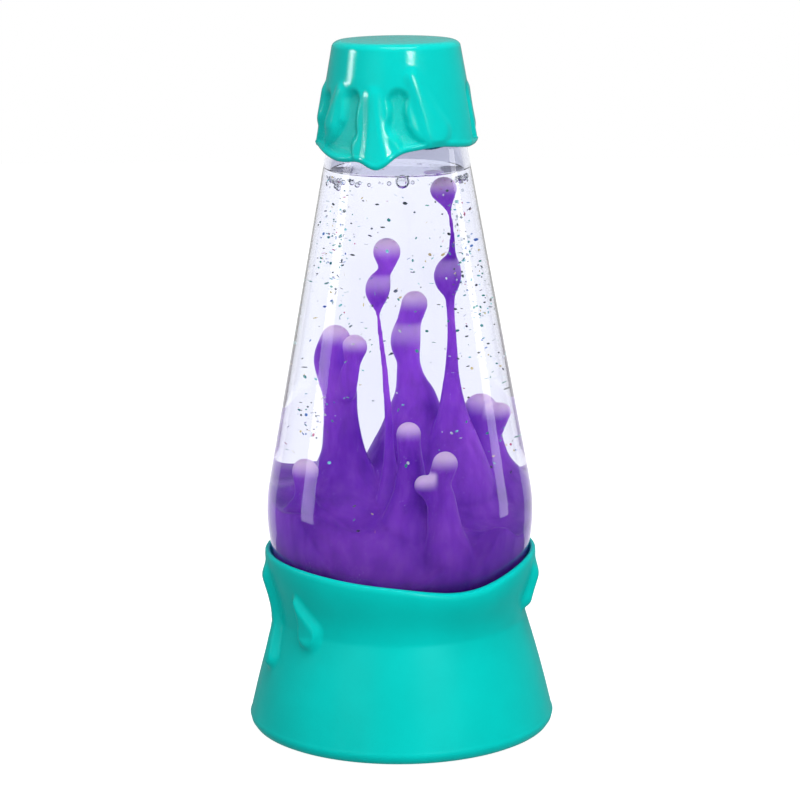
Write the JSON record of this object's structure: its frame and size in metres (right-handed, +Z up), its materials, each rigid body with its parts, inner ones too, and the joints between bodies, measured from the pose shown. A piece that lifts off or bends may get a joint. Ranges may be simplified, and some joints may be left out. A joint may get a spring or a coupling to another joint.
{
  "type": "lava lamp",
  "caption": "Lava lamp with a flared, drip moulded base, a clear tapered bottle of wax columns and glitter, and a dripping cap over a screw closure.",
  "frame": {"origin": "centre of the foot ring's underside, on the surface the lamp stands on", "axes": "+Z up along the bottle's axis, +X to the right of the lamp seen from its front, which faces -Y"},
  "size_m": [0.1076, 0.1076, 0.24],
  "materials": {
    "shell": "satin",
    "inner_plastic": "matte",
    "soft_pad": "matte",
    "lens": "gloss",
    "reflector": "polished",
    "board": "satin",
    "led": "gloss",
    "cover": "matte",
    "steel": "satin",
    "tray": "matte",
    "cell": "satin",
    "switch_black": "matte",
    "switch_white": "satin",
    "wire_red": "satin",
    "wire_black": "satin",
    "bottle": "polished",
    "liquid": "polished",
    "lava": "satin",
    "glitter": "polished",
    "liner": "matte",
    "closure": "satin"
  },
  "bodies": {
    "base": {"base_shell": "shell", "bottle_cradle": "inner_plastic", "seat_pad": "soft_pad", "light_lens": "lens", "reflector": "reflector", "led_board": "board", "leds": "led", "bottom_cover": "cover", "cover_screws": "steel", "battery_tray": "tray", "batteries": "cell", "battery_springs": "steel", "battery_contacts": "steel", "switch_body": "switch_black", "foot_ring": "soft_pad", "wire_red": "wire_red", "wire_black": "wire_black"},
    "door": {"battery_door": "cover"},
    "switch": {"switch_knob": "switch_white"},
    "bottle": {"bottle": "bottle", "liquid": "liquid", "lava": "lava", "glitter": "glitter"},
    "liner": {"cap_liner": "liner"},
    "closure": {"screw_cap": "closure"},
    "cap": {"cap_shell": "shell", "cap_socket": "inner_plastic"}
  },
  "joints": [
    {"name": "bottle_lift", "type": "slide", "parent": "base", "child": "bottle", "axis": [0, 0, 1], "range_m": [0, 0.06]},
    {"name": "cap_rise", "type": "slide", "parent": "bottle", "child": "liner", "axis": [0, 0, 1], "range_m": [0, 0.0051]},
    {"name": "cap_twist", "type": "hinge", "parent": "liner", "child": "closure", "pos_m": [0, 0, 0.2345], "axis": [0, 0, 1], "range_deg": [0, 450]},
    {"name": "cover_pull", "type": "slide", "parent": "closure", "child": "cap", "axis": [0, 0, 1], "range_m": [0, 0.045]},
    {"name": "battery_door", "type": "hinge", "parent": "base", "child": "door", "pos_m": [-0.0231, 0, 0.0019], "axis": [0, 1, 0], "range_deg": [0, 75]},
    {"name": "power_switch", "type": "slide", "parent": "base", "child": "switch", "axis": [1, 0, 0], "range_m": [0, 0.004]}
  ],
  "couplings": [
    {"joint": "cap_rise", "follows": "cap_twist", "m_per_rad": 0.00063662}
  ]
}
